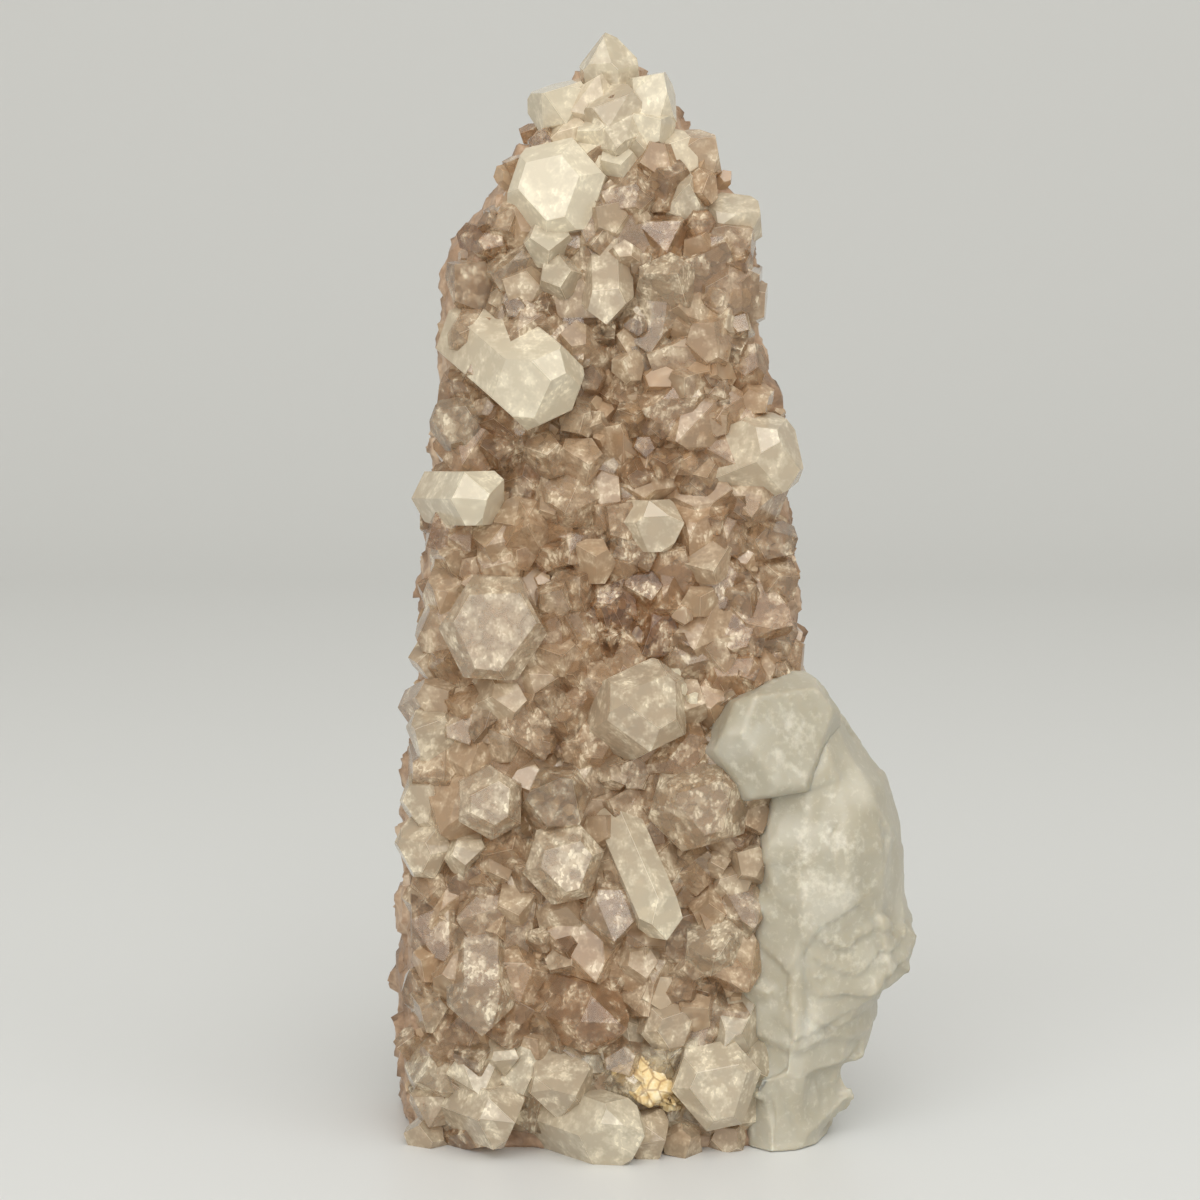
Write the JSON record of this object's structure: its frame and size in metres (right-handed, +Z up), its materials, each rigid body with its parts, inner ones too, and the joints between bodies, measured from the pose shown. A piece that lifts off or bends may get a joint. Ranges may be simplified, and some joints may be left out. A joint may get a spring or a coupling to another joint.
{
  "type": "hematoid quartz cluster",
  "caption": "Free-standing cut-base tower of pinkish iron-stained quartz, its front covered with stubby six-sided crystals, with a milky quartz mass grown into its lower right side.",
  "frame": {"origin": "middle of the bounding box's bottom, on the sawn foot", "axes": "+Z up the tower, -Y towards the viewer of the crystal-covered front, +X to the viewer's right, where the milky mass is"},
  "size_m": [0.061, 0.0393, 0.1245],
  "materials": {
    "hematoid_quartz": "natural quartz stained by iron oxide: pinkish tan to red-brown, translucent, glossy on crystal faces and rough on broken ones",
    "pale_quartz": "paler, clearer quartz of the large crystal heads, with white veils and healed cracks inside, glassy",
    "milky_quartz": "milky greenish-white quartz, translucent, with soft broken faces",
    "limonite": "pale yellow limonite, dull and earthy"
  },
  "bodies": {
    "root": {"quartz_cluster": "hematoid_quartz"}
  },
  "joints": []
}
